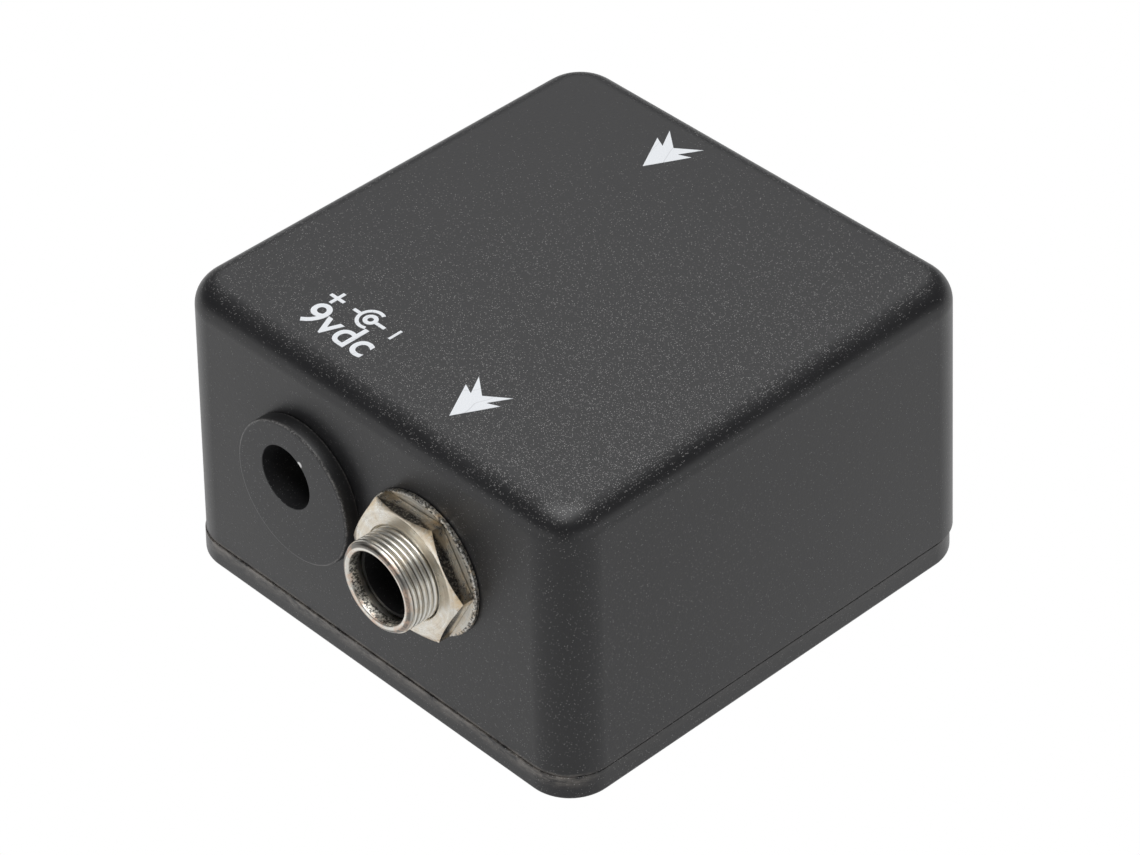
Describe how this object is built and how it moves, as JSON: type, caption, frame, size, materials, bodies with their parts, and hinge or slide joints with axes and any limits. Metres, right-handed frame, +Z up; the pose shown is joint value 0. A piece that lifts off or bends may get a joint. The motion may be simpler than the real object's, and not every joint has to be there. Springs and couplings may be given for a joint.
{
  "type": "direct injection box",
  "caption": "Small die-cast powered audio interface box with an input socket, an output socket and a low-voltage inlet on its end walls, and a screwed bottom cover.",
  "frame": {"origin": "middle of the underside of the bottom cover, on the surface that the box stands on", "axes": "+Z up through the top face; -Y out of the end wall with the output socket and the DC inlet; +Y out of the end wall with the input socket; +X to the right when facing the output end"},
  "size_m": [0.0504, 0.0608, 0.0303],
  "materials": {
    "black_powder_coat": "matte",
    "nickel_plate": "satin",
    "zinc_plated_screw": "satin",
    "black_moulding": "matte",
    "phosphor_bronze": "satin",
    "board_laminate": "satin",
    "chip_epoxy": "matte",
    "capacitor_sleeve": "gloss",
    "film_capacitor_box": "satin",
    "resistor_lacquer": "gloss",
    "red_insulation": "satin",
    "black_insulation": "satin",
    "insulating_fibre": "matte",
    "white_legend_ink": "matte"
  },
  "bodies": {
    "case": {"case": "black_powder_coat", "output_jack_bushing": "nickel_plate", "output_jack_washer": "nickel_plate", "output_jack_nut": "nickel_plate", "output_jack_housing": "black_moulding", "output_jack_tip_terminal": "phosphor_bronze", "output_jack_ring_terminal": "phosphor_bronze", "output_jack_switch_contact": "phosphor_bronze", "output_jack_sleeve_contact": "phosphor_bronze", "input_jack_bushing": "nickel_plate", "input_jack_washer": "nickel_plate", "input_jack_nut": "nickel_plate", "input_jack_housing": "black_moulding", "input_jack_tip_terminal": "phosphor_bronze", "input_jack_ring_terminal": "phosphor_bronze", "input_jack_switch_contact": "phosphor_bronze", "input_jack_sleeve_contact": "phosphor_bronze", "dc_inlet_body": "black_moulding", "dc_inlet_pin": "nickel_plate", "dc_inlet_sleeve_tag": "phosphor_bronze", "dc_inlet_nut": "nickel_plate", "op_amp": "chip_epoxy", "electrolytic_capacitor_2": "capacitor_sleeve", "electrolytic_capacitor_1": "capacitor_sleeve", "film_capacitor_1": "film_capacitor_box", "film_capacitor_2": "film_capacitor_box", "resistor_1": "resistor_lacquer", "resistor_2": "resistor_lacquer", "resistor_3": "resistor_lacquer", "resistor_4": "resistor_lacquer", "resistor_5": "resistor_lacquer", "resistor_6": "resistor_lacquer", "protection_diode": "chip_epoxy", "circuit_board": "board_laminate", "positive_wire": "red_insulation", "negative_wire": "black_insulation"},
    "cover": {"bottom_cover": "black_powder_coat", "insulating_sheet": "insulating_fibre", "cover_screw_1": "zinc_plated_screw", "cover_screw_2": "zinc_plated_screw", "cover_screw_3": "zinc_plated_screw", "cover_screw_4": "zinc_plated_screw"},
    "output_tip_spring": {"output_jack_tip_spring": "phosphor_bronze"},
    "output_ring_spring": {"output_jack_ring_spring": "phosphor_bronze"},
    "input_tip_spring": {"input_jack_tip_spring": "phosphor_bronze"},
    "input_ring_spring": {"input_jack_ring_spring": "phosphor_bronze"},
    "inlet_sleeve_spring": {"dc_inlet_sleeve_spring": "phosphor_bronze"}
  },
  "joints": [
    {"name": "cover_lift_off", "type": "slide", "parent": "case", "child": "cover", "axis": [0, 0, -1], "range_m": [0, 0.04]},
    {"name": "output_tip_contact_flex", "type": "hinge", "parent": "case", "child": "output_tip_spring", "pos_m": [0.01275, -0.01349, 0.01711], "axis": [0, -0.0209, -0.9998], "range_deg": [0, 5], "stiffness_Nm_per_rad": 0.05},
    {"name": "output_ring_contact_flex", "type": "hinge", "parent": "case", "child": "output_ring_spring", "pos_m": [0.00195, -0.01349, 0.01711], "axis": [0, 0.0209, 0.9998], "range_deg": [0, 12], "stiffness_Nm_per_rad": 0.02},
    {"name": "input_tip_contact_flex", "type": "hinge", "parent": "case", "child": "input_tip_spring", "pos_m": [-0.0127, 0.01349, 0.01711], "axis": [0, 0.0209, -0.9998], "range_deg": [0, 5], "stiffness_Nm_per_rad": 0.05},
    {"name": "input_ring_contact_flex", "type": "hinge", "parent": "case", "child": "input_ring_spring", "pos_m": [-0.0019, 0.01349, 0.01711], "axis": [0, -0.0209, 0.9998], "range_deg": [0, 12], "stiffness_Nm_per_rad": 0.02},
    {"name": "inlet_sleeve_contact_flex", "type": "hinge", "parent": "case", "child": "inlet_sleeve_spring", "pos_m": [-0.0048, -0.01337, 0.01786], "axis": [0, 0.0209, 0.9998], "range_deg": [0, 4], "stiffness_Nm_per_rad": 0.03}
  ]
}
